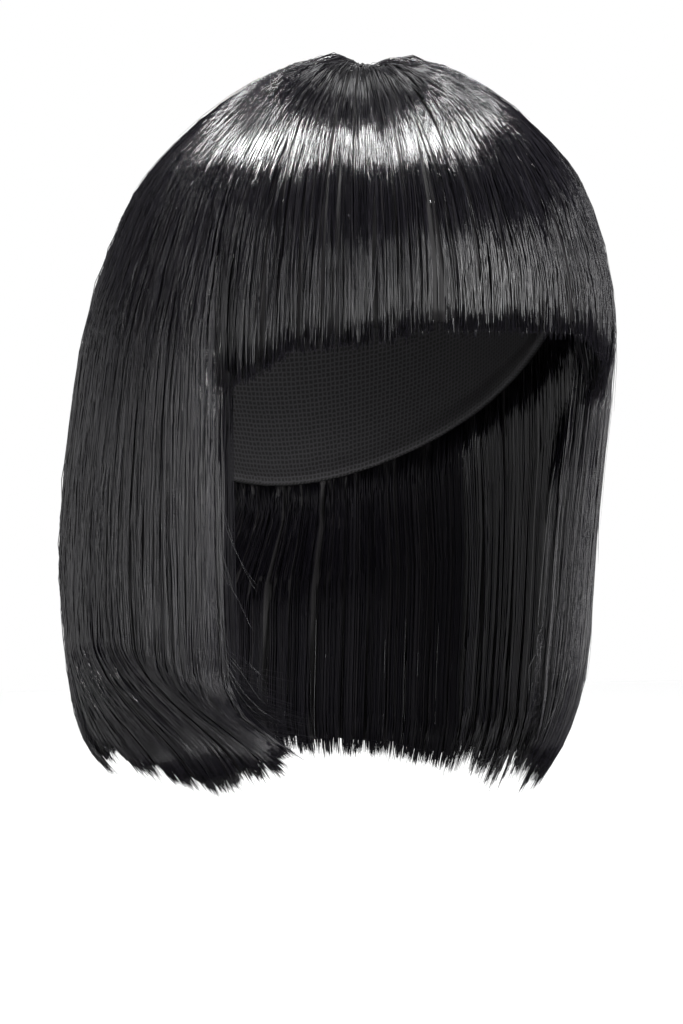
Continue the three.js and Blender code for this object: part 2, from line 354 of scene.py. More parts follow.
def tube_arrays(batch, first):
    """Corner points, faces and UVs of closed three-sided tubes, one for each line of centres."""
    centres, widths, tones = batch
    count, steps = centres.shape[:2]
    along = np.gradient(centres, axis=1)
    along /= np.linalg.norm(along, axis=-1, keepdims=True)
    outward = centres * [1, 1, 0] + [0, 0, 1e-5]
    across = np.cross(along, outward)
    across /= np.linalg.norm(across, axis=-1, keepdims=True)
    up = np.cross(across, along)
    turns = np.radians(90 + 360 / SIDES * np.arange(SIDES))
    ring = np.stack([across * np.cos(a) + up * np.sin(a) for a in turns], axis=2)
    points = centres[:, :, None] + ring * (widths / 2)[:, :, None, None]
    index = first + np.arange(count * steps * SIDES).reshape(count, steps, SIDES)
    after = np.roll(index, -1, axis=2)
    walls = np.stack([index[:, :-1], index[:, 1:], after[:, 1:], after[:, :-1]], axis=-1).reshape(-1, 4)
    ends = np.concatenate([index[:, 0], index[:, -1, ::-1]])
    each_side = (count, steps - 1, SIDES)
    cells = (tones[:, None, None] + CELL_START + CELL_SPAN * np.arange(SIDES) / SIDES) / TONES
    left = np.broadcast_to(cells, each_side)
    right = left + CELL_SPAN / SIDES / TONES
    rows = np.linspace(*SIDE_ROWS, steps)[:, None]
    low, high = np.broadcast_to(rows[:-1], each_side), np.broadcast_to(rows[1:], each_side)
    wall_uv = np.stack([left, low, left, high, right, high, right, low], axis=-1).reshape(-1, 8)
    middle = (tones + 0.5) / TONES
    end_uvs = []
    for row in END_ROWS:
        foot, peak = np.full(count, row), np.full(count, row + END_TALL)
        end_uvs.append(np.stack([middle - END_HALF, foot, middle + END_HALF, foot, middle, peak], axis=-1))
    return points.reshape(-1, 3), walls, ends, wall_uv, np.concatenate(end_uvs)


def tubes(name, batches, material):
    """One mesh of all the strands in batches."""
    points, walls, ends, wall_uvs, end_uvs = [], [], [], [], []
    first = 0
    for batch in batches:
        made = tube_arrays(batch, first)
        first += len(made[0])
        for pile, part in zip((points, walls, ends, wall_uvs, end_uvs), made):
            pile.append(part)
    return new_mesh(name, np.concatenate(points), walls + ends, wall_uvs + end_uvs, STRAND_UV, material)


def wall(name, outer, inner, material, around=False):
    """A closed wall between two grids of points, columns by rows, with UVs of columns and rows."""
    columns, rows = outer.shape[:2]
    index = np.arange(columns * rows).reshape(columns, rows)
    if around:
        index = np.vstack([index, index[:1]])
    out, into = index, index + columns * rows
    u = np.linspace(0, 1, len(index))
    v = np.linspace(0, 1, rows)

    def band(a, b, c, d):
        return np.stack([a, b, c, d], axis=-1).reshape(-1, 4)

    faces = [
        band(out[:-1, :-1], out[:-1, 1:], out[1:, 1:], out[1:, :-1]),
        band(into[:-1, :-1], into[1:, :-1], into[1:, 1:], into[:-1, 1:]),
        band(out[:-1, 0], out[1:, 0], into[1:, 0], into[:-1, 0]),
        band(out[:-1, -1], into[:-1, -1], into[1:, -1], out[1:, -1]),
    ]
    if not around:
        faces.append(band(out[0, :-1], into[0, :-1], into[0, 1:], out[0, 1:]))
        faces.append(band(out[-1, :-1], out[-1, 1:], into[-1, 1:], into[-1, :-1]))
    grid_u, grid_v = np.meshgrid(u, v, indexing="ij")
    place_uv = np.concatenate([np.stack([grid_u, grid_v], axis=-1)[:columns].reshape(-1, 2)] * 2)
    uvs = []
    for block in faces:
        corner_uv = place_uv[block]
        if around:
            wraps = np.ptp(corner_uv[..., 0], axis=1) > 0.5
            wrapped = corner_uv[wraps]
            corner_uv[wraps] = np.where(wrapped[..., :1] < 0.5, wrapped + [1, 0], wrapped)
        uvs.append(corner_uv.reshape(len(block), -1))
    points = np.concatenate([outer.reshape(-1, 3), inner.reshape(-1, 3)])
    return new_mesh(name, points, faces, uvs, WALL_UV, material)


# Materials

def node_material(name):
    made = bpy.data.materials.new(name)
    made.use_nodes = True
    return made, made.node_tree.nodes, made.node_tree.links


def ramp(nodes, stops):
    made = nodes.new("ShaderNodeValToRGB")
    elements = made.color_ramp.elements
    while len(elements) < len(stops):
        elements.new(0.5)
    for element, (position, colour) in zip(elements, stops):
        element.position = position
        element.color = (*colour, 1)
    return made


def fibre_material(name, gloss, roughness):
    """Black synthetic fibre. Each strand has a tone of its own, a little browner or bluer than the next."""
    made, nodes, links = node_material(name)
    shader = nodes["Principled BSDF"]
    shader.inputs["Specular IOR Level"].default_value = gloss
    shader.inputs["IOR"].default_value = 1.55
    uv = nodes.new("ShaderNodeUVMap")
    uv.uv_map = STRAND_UV
    split = nodes.new("ShaderNodeSeparateXYZ")
    links.new(uv.outputs["UV"], split.inputs["Vector"])
    cell = nodes.new("ShaderNodeMath")
    cell.operation = "MULTIPLY"
    cell.inputs[1].default_value = TONES
    links.new(split.outputs["X"], cell.inputs[0])
    whole = nodes.new("ShaderNodeMath")
    whole.operation = "FLOOR"
    links.new(cell.outputs[0], whole.inputs[0])
    noise = nodes.new("ShaderNodeTexWhiteNoise")
    noise.noise_dimensions = "1D"
    links.new(whole.outputs[0], noise.inputs["W"])
    tone = ramp(nodes, [
        (0.0, (0.0012, 0.0011, 0.0018)),
        (0.5, (0.0030, 0.0026, 0.0043)),
        (0.8, (0.0052, 0.0046, 0.0062)),
        (0.92, (0.0080, 0.0072, 0.0080)),
        (1.0, (0.0060, 0.0060, 0.0092)),
    ])
    links.new(noise.outputs["Value"], tone.inputs["Fac"])
    links.new(tone.outputs["Color"], shader.inputs["Base Color"])
    rough = nodes.new("ShaderNodeMapRange")
    rough.inputs["To Min"].default_value, rough.inputs["To Max"].default_value = roughness
    links.new(noise.outputs["Value"], rough.inputs["Value"])
    links.new(rough.outputs["Result"], shader.inputs["Roughness"])
    return made


def core_material():
    """The dark mass of fibre under the outermost strands, streaked along its flow."""
    made, nodes, links = node_material("hair_core")
    shader = nodes["Principled BSDF"]
    shader.inputs["Specular IOR Level"].default_value = 0.12
    uv = nodes.new("ShaderNodeUVMap")
    uv.uv_map = WALL_UV
    stretch = nodes.new("ShaderNodeMapping")
    stretch.inputs["Scale"].default_value = (260, 2.5, 1)
    links.new(uv.outputs["UV"], stretch.inputs["Vector"])
    streaks = nodes.new("ShaderNodeTexNoise")
    streaks.inputs["Scale"].default_value = 1
    streaks.inputs["Detail"].default_value = 5
    links.new(stretch.outputs["Vector"], streaks.inputs["Vector"])
    tone = ramp(nodes, [(0.35, (0.002, 0.002, 0.002)), (0.7, (0.012, 0.011, 0.012))])
    links.new(streaks.outputs["Fac"], tone.inputs["Fac"])
    links.new(tone.outputs["Color"], shader.inputs["Base Color"])
    rough = nodes.new("ShaderNodeMapRange")
    rough.inputs["To Min"].default_value = 0.55
    rough.inputs["To Max"].default_value = 0.35
    links.new(streaks.outputs["Fac"], rough.inputs["Value"])
    links.new(rough.outputs["Result"], shader.inputs["Roughness"])
    bump = nodes.new("ShaderNodeBump")
    bump.inputs["Strength"].default_value = 0.8
    bump.inputs["Distance"].default_value = 0.6 * MM
    links.new(streaks.outputs["Fac"], bump.inputs["Height"])
    links.new(bump.outputs["Normal"], shader.inputs["Normal"])
    return made


def net_material():
    """Matt black stretch net."""
    made, nodes, links = node_material("cap_net")
    shader = nodes["Principled BSDF"]
    shader.inputs["Roughness"].default_value = 0.85
    shader.inputs["Specular IOR Level"].default_value = 0.25
    uv = nodes.new("ShaderNodeUVMap")
    uv.uv_map = WALL_UV
    mesh_size = nodes.new("ShaderNodeMapping")
    mesh_size.inputs["Scale"].default_value = (330, 110, 1)
    links.new(uv.outputs["UV"], mesh_size.inputs["Vector"])
    holes = nodes.new("ShaderNodeTexVoronoi")
    holes.voronoi_dimensions = "2D"
    holes.feature = "DISTANCE_TO_EDGE"
    holes.inputs["Scale"].default_value = 1
    holes.inputs["Randomness"].default_value = 0.25
    links.new(mesh_size.outputs["Vector"], holes.inputs["Vector"])
    tone = ramp(nodes, [(0.05, (0.022, 0.021, 0.023)), (0.3, (0.006, 0.006, 0.006))])
    links.new(holes.outputs["Distance"], tone.inputs["Fac"])
    links.new(tone.outputs["Color"], shader.inputs["Base Color"])
    bump = nodes.new("ShaderNodeBump")
    bump.invert = True
    bump.inputs["Strength"].default_value = 0.6
    bump.inputs["Distance"].default_value = 0.4 * MM
    links.new(holes.outputs["Distance"], bump.inputs["Height"])
    links.new(bump.outputs["Normal"], shader.inputs["Normal"])
    return made


FIBRE = fibre_material("hair_fibre", 0.5, (0.12, 0.18))
# A copy of the fibre, far less glossy and rougher, that paints shade: it darkens the strands inside the hair
# and behind the right front edge, where the hair lies in shadow.
SHADE_FIBRE = fibre_material("hair_fibre_under", 0.1, (0.35, 0.5))
CORE = core_material()
NET = net_material()


# Hair

CORE_DEPTH = 2.4
STRAND_WIDTH = 0.36
LINING_WIDTH = 0.55
HAIR_WIDTH = 0.17
# How much strands differ in width, the share of their length over which an end narrows, and to what
WIDTH_RANGE = (0.75, 1.2)
TIP_SHARE, TIP_WIDTH = 0.06, 0.25
# How deep the strands of a face lie over each other, and how deep and over what run their roots dip
LAYERS = 2.2
ROOT_DIP, ROOT_RUN = 2.6, 9
SEAM_OVERLAP = 1.5
# How far from even the locks stand, how far aside of them strands lie at most, both in spacings, and how much
# those that stand apart are drawn in and pointed
LOCK_SHIFT, LOCK_REACH = 0.3, 0.6
NAMED_PULL, NAMED_POINT = 0.75, 5
# The share of strands that are wisps
WISP_SHARE = 0.07
# Width in degrees of the tresses of a face, and the share of their strands that have the tress's tone
TRESS, TRESS_TONE = 0.33, 0.5
# Width in degrees of the clumps that rise and fall together, by how much, and by how much each strand differs
RIPPLES = [(1.3, 0.4, 0.2), (4, 0.35, 0.12)]
RIPPLE_LENGTHS = (35, 110)
# How far the tips of the fringe turn in, over what length, and how wide its cut ends stay
CURL, CURL_RUN = 3.2, 38
FRINGE_BLUNT = 0.6
# How far down their lines strands start to draw together into locks
FACE_DRAWN, LINING_DRAWN = 0.35, 0.5
# Points along a strand of each kind, besides those over a face
FILL_STEPS, INNER_STEPS, EDGE_STEPS, HAIR_STEPS = 7, 9, 10, 9
# Where roots may lie, how far down to the hem the last of them is, and the least share of a line that a
# strand over a face and one elsewhere takes up
ROOT_SHARES = SHARES[::4]
LAST_ROOT = 0.8
LEAST_FACE, LEAST_SHARE = 0.1, 0.05
# How far tresses and single strands drift sideways, and the radius within which that turns them no further
TRESS_DRIFT, OWN_DRIFT = 1, 0.4
LEAST_RADIUS = 4
# How many waves a drift has along a strand
DRIFT_WAVES = (0.6, 1.6)


# The direction whose flow line stands for all, and the degrees of bending that a step of its length counts as
BEND_DEG, STEP_BEND = -75.0, 0.35


def bend_shares():
    """How much of a flow line's bending lies above each share of it, with length counted in."""
    path = place(RIGHT, np.full(LINE_STEPS + 1, BEND_DEG), SHARES, 0)
    along = np.diff(path, axis=0)
    along /= np.linalg.norm(along, axis=1, keepdims=True)
    bends = np.arccos(np.clip((along[1:] * along[:-1]).sum(axis=1), -1, 1))
    bending = np.append(bends, bends[-1]) + np.radians(STEP_BEND)
    return np.concatenate([[0], np.cumsum(bending)]) / bending.sum()


BENDS = bend_shares()


def spread(start, end, steps):
    """Shares from each start to each end, closer together where the hair bends."""
    b0, b1 = np.interp(start, SHARES, BENDS), np.interp(end, SHARES, BENDS)
    return np.interp(b0[:, None] + (b1 - b0)[:, None] * np.linspace(0, 1, steps), BENDS, SHARES)


def clumps(deg, width):
    """Which clump of a width in degrees each strand belongs to, and how many clumps there are."""
    clump = ((deg - deg.min()) / width).astype(int)
    return clump, clump.max() + 1


def wander(rng, clump, count, along, size):
    """A slow random drift along each clump's strands, nothing at the root."""
    phase = rng.uniform(0, 2 * np.pi, count)[clump, None]
    waves = rng.uniform(*DRIFT_WAVES, count)[clump, None]
    drift = np.sin(phase + 2 * np.pi * waves * along) - np.sin(phase)
    return drift * rng.normal(0, size, count)[clump, None] * along**0.7


def ripple(rng, deg, run):
    """A rise and fall along strands, by their run, that neighbours nearly share, so they shine in streaks."""
    rise = np.zeros_like(run)
    for width, clump_size, own_size in RIPPLES:
        clump, count = clumps(deg, width)
        phase = rng.uniform(0, 2 * np.pi, count)[clump] + rng.normal(0, 0.5, len(deg))
        wave = rng.uniform(*RIPPLE_LENGTHS, count)[clump]
        size = rng.normal(0, clump_size, count)[clump] + rng.normal(0, own_size, len(deg))
        rise += size[:, None] * np.sin(phase[:, None] + 2 * np.pi * run / wave[:, None])
    return rise


def bundle(rng, section, at, t, depth, width=STRAND_WIDTH, blunt=0, tones=None):
    """Strands along directions and shares of flow lines, at a depth. blunt is how wide their tips stay."""
    count, steps = t.shape
    along = np.linspace(0, 1, steps)
    taper = eased(0, TIP_SHARE, along) * (1 - (1 - blunt) * eased(1 - TIP_SHARE, 1, along))
    widths = width * rng.uniform(*WIDTH_RANGE, (count, 1)) * (TIP_WIDTH + (1 - TIP_WIDTH) * taper) * MM
    if tones is None:
        tones = rng.integers(0, TONES, count)
    return Batch(place(section, at, t, depth), widths, tones)


# How a section's strands gather into locks: degrees from lock to lock, how far strands are drawn to the
# middle, how deep they lie between locks, how much locks differ in length, how pointed they are, how much
# strands differ in length, how far a few wisps reach past them, and where the locks are that stand apart
Locks = namedtuple("Locks", "spacing pull groove ragged point lengths wisps named", defaults=[()])


def gather(rng, section, deg, locks):
    """Each strand's lock: its centre, its pull, how far aside the strand lies and how much longer it is."""
    low, high = sorted((section.start, section.end))
    count = int((high - low) / locks.spacing)
    centres = np.linspace(low, high, count)
    centres[1:-1] += rng.normal(0, locks.spacing * LOCK_SHIFT, count - 2)
    for named in locks.named:
        centres[np.argmin(np.abs(centres - named))] = named
    nearest = np.argmin(np.abs(deg[:, None] - centres), axis=1)
    aside = np.clip(np.abs(deg - centres[nearest]) / (locks.spacing * LOCK_REACH), 0, 1)
    longer = rng.normal(0, locks.ragged, count)[nearest]
    named = np.isin(centres[nearest], locks.named)
    pull = np.where(named, NAMED_PULL, locks.pull)
    longer -= np.where(named, NAMED_POINT, locks.point) * aside**2
    return centres[nearest], pull, aside, longer


def is_seam(deg):
    return abs(abs(turn(deg)) - BACK_EDGE) < 0.5


def across(rng, section, count):
    """Random directions across a section, a little past the seams that it shares with its neighbours."""
    past = SEAM_OVERLAP * np.sign(section.end - section.start)
    start = section.start - past * is_seam(section.start)
    end = section.end + past * is_seam(section.end)
    return start + (end - start) * rng.random(count)


def hem_share(section, deg):
    return share_at_height(deg, edge_height(section.hem, deg))


def tips(rng, locks, hem, length, longer):
    """How far down their lines strands end, about the hem."""
    count = len(hem)
    wisp = rng.uniform(0, locks.wisps, count) * (rng.random(count) < WISP_SHARE)
    own = rng.normal(-locks.lengths, locks.lengths, count)
    return np.clip(hem + (longer + own + wisp) / length, 0, 1)


def face_strands(rng, section, count, steps, locks):
    """Strands over a section's face. More leave the crown the wider the hair gets."""
    deg = across(rng, section, count)
    hem, length = hem_share(section, deg), line_length(deg)
    radius = on_line(deg[:, None], ROOT_SHARES)[..., 0]
    wanted = rng.random(count) * radius.max(axis=1)
    root = ROOT_SHARES[np.argmax(radius >= wanted[:, None], axis=1)]
    root = np.minimum(root, hem * LAST_ROOT)
    centre, pull, aside, longer = gather(rng, section, deg, locks)
    t = spread(root, np.maximum(tips(rng, locks, hem, length, longer), root + LEAST_FACE), steps)
    run = t * length[:, None]
    down = t / hem[:, None]
    drawn = eased(FACE_DRAWN, 1, down)
    radius = np.maximum(on_line(deg[:, None], t)[..., 0], LEAST_RADIUS)
    tress, tresses = clumps(deg, TRESS)
    drift = wander(rng, tress, tresses, down, TRESS_DRIFT)
    drift += wander(rng, np.arange(count), count, down, OWN_DRIFT)
    lean = np.degrees(drift / radius) * eased(0, 0.2, t)
    at = deg[:, None] + ((centre - deg) * pull)[:, None] * drawn + lean
    layer = LAYERS * (0.6 * rng.random(tresses)[tress] + 0.4 * rng.random(count))[:, None] ** 1.3
    alike = rng.random(count) < TRESS_TONE
    tones = np.where(alike, rng.integers(0, TONES, tresses)[tress], rng.integers(0, TONES, count))
    dipped = ROOT_DIP * np.exp((run[:, :1] - run) / ROOT_RUN)
    groove = locks.groove * aside[:, None] ** 2 * drawn
    depth = layer + dipped + groove + ripple(rng, deg, run)
    if not section.tucks:
        return bundle(rng, section, at, t, depth, tones=tones)
    curl = CURL * rng.random((count, 1))
    curl_run = CURL_RUN * rng.uniform(0.4, 1, (count, 1))
    depth += curl * eased(curl_run, 0, (hem[:, None] - t) * length[:, None])
    return bundle(rng, section, at, t, depth, blunt=FRINGE_BLUNT, tones=tones)


# Lengths of the strands at a hem, how far short of it they may end, their least depth, and how much of the
# thickness they leave free in all
FILL_LENGTHS = (45, 80)
FILL_SHORT = 3
FILL_DEPTH, FILL_MARGIN = 1.5, 2


def fill_strands(rng, section, count, steps, locks):
    """Strands through a section's thickness that reach its hem."""
    deg = across(rng, section, count)
    hem, length = hem_share(section, deg), line_length(deg)
    root = hem - rng.uniform(*FILL_LENGTHS, count) / length
    centre, pull, _, longer = gather(rng, section, deg, locks)
    short = rng.uniform(0, FILL_SHORT, count) / length
    t = spread(root, np.maximum(tips(rng, locks, hem, length, longer) - short, root + LEAST_SHARE), steps)
    at = deg[:, None] + ((centre - deg) * pull)[:, None] * eased(FACE_DRAWN, 1, t / hem[:, None])
    through = inner_depth(section, deg[:, None], t) - FILL_MARGIN
    depth = FILL_DEPTH + rng.random(count)[:, None] * through
    return bundle(rng, section, at, t, depth, width=LINING_WIDTH)


# How many degrees in from a free edge its strands spread, the heights between which they start, and how far
# they drift
EDGE_SPREAD = 1.6
EDGE_TOP, EDGE_TOP_RUN = -65, 50
EDGE_DRIFT = 1.3


def edge_strands(rng, section, count, steps, locks, outer, inner):
    """Strands over the free front edge of a side section, between two shares of its thickness."""
    inward = np.sign(section.end - section.start)
    deg = section.start + inward * np.abs(rng.normal(0, EDGE_SPREAD, count))
    hem, length = hem_share(section, deg), line_length(deg)
    top = share_at_height(deg, EDGE_TOP - EDGE_TOP_RUN * rng.random(count))
    tip = np.clip(hem + rng.normal(-locks.lengths, locks.lengths, count) / length, top + LEAST_SHARE, 1)
    t = spread(top, tip, steps)
    radius = on_line(deg[:, None], t)[..., 0]
    drift = wander(rng, np.arange(count), count, t / hem[:, None], EDGE_DRIFT)
    at = deg[:, None] + np.degrees(drift / radius)
    depth = rng.uniform(outer, inner, (count, 1)) * (inner_depth(section, deg[:, None], t) - 1)
    return bundle(rng, section, at, t, depth)


# The heights about the cap's rim between which the strands of the inside start, and how far in from the inner
# face they lie
LINING_LOW, LINING_RUN = -2, 10
LINING_BED, LINING_LAYERS = 0.3, 1.2


def inner_strands(rng, section, count, steps, locks):
    """Strands over the inside of a section, from under the cap's rim to the hem."""
    deg = across(rng, section, count)
    hem, length = hem_share(section, deg), line_length(deg)
    root = share_at_height(deg, rim_height(deg) + LINING_LOW + LINING_RUN * rng.random(count))
    centre, pull, _, longer = gather(rng, section, deg, locks)
    tip = np.maximum(tips(rng, locks, hem, length, longer), root + LEAST_SHARE)
    t = np.linspace(root, tip, steps, axis=1)
    at = deg[:, None] + ((centre - deg) * pull)[:, None] * eased(LINING_DRAWN, 1, t / hem[:, None])
    bedded = inner_depth(section, deg[:, None], t) - LINING_BED
    depth = bedded - LINING_LAYERS * rng.random(count)[:, None]
    return bundle(rng, section, at, t, depth, width=LINING_WIDTH)


# How far down to the hem loose hairs start, their lengths, how far they stray sideways and lift off, how deep
# they start, and how proud of the face they then lie
LOOSE_ROOTS = (0.03, 0.7)
LOOSE_LENGTHS = (50, 130)
LOOSE_STRAY, LOOSE_RADIUS = 6, 8
LOOSE_LIFT_SHAPE, LOOSE_LIFT = 1.2, 0.3
LOOSE_DEPTH, LOOSE_PROUD = 1.6, 0.2


def loose_hairs(rng, section, count, steps):
    """Single fine hairs that lie across the others, some a little off them."""
    deg = across(rng, section, count)
    hem, length = hem_share(section, deg), line_length(deg)
    root = hem * rng.uniform(*LOOSE_ROOTS, count)
    t = spread(root, np.minimum(root + rng.uniform(*LOOSE_LENGTHS, count) / length, hem), steps)
    along = np.linspace(0, 1, steps)
    radius = np.maximum(on_line(deg[:, None], t)[..., 0], LOOSE_RADIUS)
    at = deg[:, None] + np.degrees(rng.normal(0, LOOSE_STRAY, (count, 1)) * along / radius)
    lift = rng.gamma(LOOSE_LIFT_SHAPE, LOOSE_LIFT, (count, 1)) * along**2
    depth = LOOSE_DEPTH * (1 - along) ** 4 - LOOSE_PROUD - lift
    return bundle(rng, section, at, t, depth, width=HAIR_WIDTH)


# How many degrees in from the edge hairs come away, the heights between which they do, their lengths, how far
# down to the hem the last of them ends, how many degrees they turn away, and how deep they start and sink
AWAY_SPREAD = 3
AWAY_TOP, AWAY_TOP_RUN = -95, 110
AWAY_LENGTHS = (45, 90)
AWAY_LAST = 0.96
AWAY_TURNS = (2, 12)
AWAY_DEPTH, AWAY_SINK = 1, 3


def edge_hairs(rng, section, count, steps):
    """Fine hairs that have come away from the free front edge of a side section."""
    inward = np.sign(section.end - section.start)
    deg = section.start + inward * rng.uniform(0, AWAY_SPREAD, count)
    root = share_at_height(deg, AWAY_TOP - AWAY_TOP_RUN * rng.random(count))
    tip = root + rng.uniform(*AWAY_LENGTHS, count) / line_length(deg)
    t = spread(root, np.minimum(tip, hem_share(section, deg) * AWAY_LAST), steps)
    along = np.linspace(0, 1, steps)
    at = deg[:, None] - inward * rng.uniform(*AWAY_TURNS, (count, 1)) * along**1.6
    depth = AWAY_DEPTH + AWAY_SINK * rng.random((count, 1)) * along
    return bundle(rng, section, at, t, depth, width=HAIR_WIDTH)


# How many degrees a core keeps in from free edges, how uneven its lower edge and its face are, how much
# deeper its face lies at the hem, how far it keeps from the inner face, and how thick it is at least
CORE_INSET = 2
CORE_RAGGED, CORE_RIDGES = 0.8, 0.35
CORE_HEM_DEPTH = 0.6
CORE_MARGIN, CORE_LEAST = 1.6, 0.7


def core(section, short, columns=60, rows=56):
    """The closed dark mass inside a section. It ends short of the hem, thinned to its outer face."""
    rng = np.random.default_rng(len(section.name))
    inset = CORE_INSET * np.sign(section.end - section.start)
    start = section.start if is_seam(section.start) else section.start + inset
    end = section.end if is_seam(section.end) else section.end - inset
    deg = np.linspace(start, end, columns)
    hem = hem_share(section, deg) - (short + rng.normal(0, CORE_RAGGED, columns)) / line_length(deg)
    t = spread(0 * deg, hem, rows)
    near_hem = eased(0.82, 1, t / hem[:, None])
    ridges = rng.normal(0, CORE_RIDGES, columns)[:, None] * eased(0, 0.3, t)
    outer_depth = CORE_DEPTH + ridges + CORE_HEM_DEPTH * near_hem
    lined = inner_depth(section, deg[:, None], t) - CORE_MARGIN
    inner = np.maximum(lined + (outer_depth - lined) * near_hem, outer_depth + CORE_LEAST)
    face = place(section, deg[:, None], t, outer_depth)
    back = place(section, deg[:, None], t, inner)
    if section.end < section.start:
        face, back = face[::-1], back[::-1]
    made = wall(section.name + "_core", face, back, CORE)
    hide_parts(section.node)


# The strands inside a section take the lining material. By default that is the duller copy of the fibre,
# which paints shade.
def hair(section, seed, locks, core_short, steps, face, fill, inner, loose, edge=0, away=0, lining=SHADE_FIBRE):
    """A section's core, which ends core_short above the hem, and all its strands.

    steps is how many points a strand of the face has. face to away are how many there are of each kind.
    """
    core(section, core_short)
    rng = np.random.default_rng(seed)
    batches = [
        face_strands(rng, section, face, steps, locks),
        fill_strands(rng, section, fill, FILL_STEPS, locks),
        loose_hairs(rng, section, loose, HAIR_STEPS),
    ]
    inside = [inner_strands(rng, section, inner, INNER_STEPS, locks)]
    if section.rolls:
        batches.append(edge_strands(rng, section, edge, EDGE_STEPS, locks, 0, 0.35))
        batches.append(edge_hairs(rng, section, away, HAIR_STEPS))
        inside.append(edge_strands(rng, section, 2 * edge, EDGE_STEPS, locks, 0.3, 1))
    tubes(section.name + "_strands", batches, FIBRE)
    tubes(section.name + "_inner_strands", inside, lining)


hair(
    FRINGE, 11,
    Locks(spacing=7, pull=0.22, groove=0.8, ragged=0.2, point=0.3, lengths=0.55, wisps=1.4),
    core_short=5, steps=13, face=2300, fill=200, inner=220, loose=50,
)
hair(
    RIGHT, 12,
    Locks(spacing=6, pull=0.2, groove=1.1, ragged=0.7, point=0.9, lengths=1.3, wisps=4, named=(-113,)),
    core_short=5, steps=15, face=1850, fill=500, inner=320, loose=100, edge=150, away=22,
)
hair(
    LEFT, 13,
    Locks(spacing=5, pull=0.42, groove=1.4, ragged=3.2, point=5, lengths=2.4, wisps=5),
    core_short=11, steps=15, face=1550, fill=260, inner=420, loose=90, edge=150, away=12, lining=FIBRE,
)
hair(
    BACK, 14,
    Locks(spacing=5.5, pull=0.16, groove=1.2, ragged=0.5, point=0.6, lengths=1, wisps=3),
    core_short=6, steps=14, face=2000, fill=350, inner=800, loose=100,
)


# Where the whorl's strands start, their lengths, how many degrees they turn and over what run, their least
# depth, its range and its growth along them, and the run over which they come out of one point
WHORL_ROOTS = (0, 0.012)
WHORL_LENGTHS = (25, 70)
WHORL_TURN, WHORL_RUN = 45, 9
WHORL_DEPTH, WHORL_LAYERS, WHORL_SINK = 0.3, 1.2, 0.02
WHORL_PIT = 3


def whorl():
    """Strands that turn out of the pit of the whorl and over its lip."""
    rng = np.random.default_rng(15)
    count, steps = 260, 10
    deg = rng.uniform(-360, 0, count)
    length = line_length(deg)
    t = spread(rng.uniform(*WHORL_ROOTS, count), rng.uniform(*WHORL_LENGTHS, count) / length, steps)
    run = t * length[:, None]
    at = deg[:, None] + WHORL_TURN * np.exp(-run / WHORL_RUN)
    depth = WHORL_DEPTH + WHORL_LAYERS * rng.random((count, 1)) + WHORL_SINK * run
    strands = bundle(rng, BACK, at, t, depth)
    strands.centres[..., :2] *= eased(0, WHORL_PIT, run)[..., None]
    tubes("whorl_strands", [strands], FIBRE)


whorl()

LOCK_TOP, LOCK_END = -115, -229
# How far behind the section's inner face a lock's strands lie and in how thick a layer, how much lower than
# its end their tips are and how much they differ, and how far they drift
LOCK_DEPTH, LOCK_THICKNESS = 1, 4.4
LOCK_TIPS = (-4, 5)
LOCK_DRIFT = 1.2
# How far behind that face a lock's core lies, its least thickness, how much it swells, and how far it ends
# short
LOCK_CORE_DEPTH = 2
LOCK_CORE_LEAST, LOCK_CORE_SWELL = 0.3, 1.7
LOCK_CORE_SHORT = 14


def lock_core(name, node, section, start, end, ragged):
    """A lock's closed dark mass, which starts below its ragged top."""
    columns, rows = 12, 24
    inset = CORE_INSET * np.sign(end - start)
    deg = np.linspace(start + inset, end - inset, columns)
    top, low = share_at_height(deg, LOCK_TOP - ragged), share_at_height(deg, LOCK_END + LOCK_CORE_SHORT)
    t = spread(top, low, rows)
    depth = inner_depth(section, deg[:, None], t) + LOCK_CORE_DEPTH
    swell = LOCK_CORE_LEAST + LOCK_CORE_SWELL * np.sin(np.pi * np.linspace(0.08, 0.95, rows)) ** 0.5
    face, back = place(section, deg[:, None], t, depth), place(section, deg[:, None], t, depth + swell)
    if end < start:
        face, back = face[::-1], back[::-1]
    mass = wall(name + "_core", face, back, CORE)
    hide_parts(node)


def lock_strands(rng, section, start, end, ragged, flick):
    """A lock's strands, which start over a ragged height and flick forward at their tips."""
    count, steps = 400, 11
    deg = start + (end - start) * rng.random(count)
    tip = share_at_height(deg, LOCK_END + rng.normal(*LOCK_TIPS, count))
    t = spread(share_at_height(deg, LOCK_TOP - ragged * rng.random(count)), tip, steps)
    along = np.linspace(0, 1, steps)
    radius = on_line(deg[:, None], t)[..., 0]
    forward = np.sign(start - end) * flick * rng.uniform(0.4, 1.1, (count, 1)) * eased(0.86, 1.08, along)
    drift = wander(rng, np.arange(count), count, along[None], LOCK_DRIFT)
    at = deg[:, None] + np.degrees(drift / radius) + forward
    bulge = np.sin(np.pi * np.linspace(0.05, 0.95, steps)) ** 0.2
    layer = LOCK_THICKNESS * rng.random((count, 1)) ** 0.6 * bulge
    depth = inner_depth(section, deg[:, None], t) + LOCK_DEPTH + layer
    return bundle(rng, section, at, t, depth)


def inner_lock(name, node, section, start, end, seed, ragged, flick, material):
    """The thinner layer that hangs inside a side section, behind its front edge."""
    lock_core(name, node, section, start, end, ragged)
    strands = lock_strands(np.random.default_rng(seed), section, start, end, ragged, flick)
    tubes(name + "_strands", [strands], material)


# The right lock's strands take the duller copy of the fibre, which paints shade. The left lock's strands take
# the plain fibre.
inner_lock(
    "right_lock", "right_inner_lock", RIGHT, start=RIGHT.start - 1, end=-80, seed=21,
    ragged=4, flick=22, material=SHADE_FIBRE,
)
inner_lock(
    "left_lock", "left_inner_lock", LEFT, start=LEFT.start + 1, end=-280, seed=22,
    ragged=34, flick=6, material=FIBRE,
)


# Cap

WEFT_SPACING, WEFT_HEIGHT = 9, 0.5
RIM_WIDTH, RIM_HEIGHT = 7, 0.9


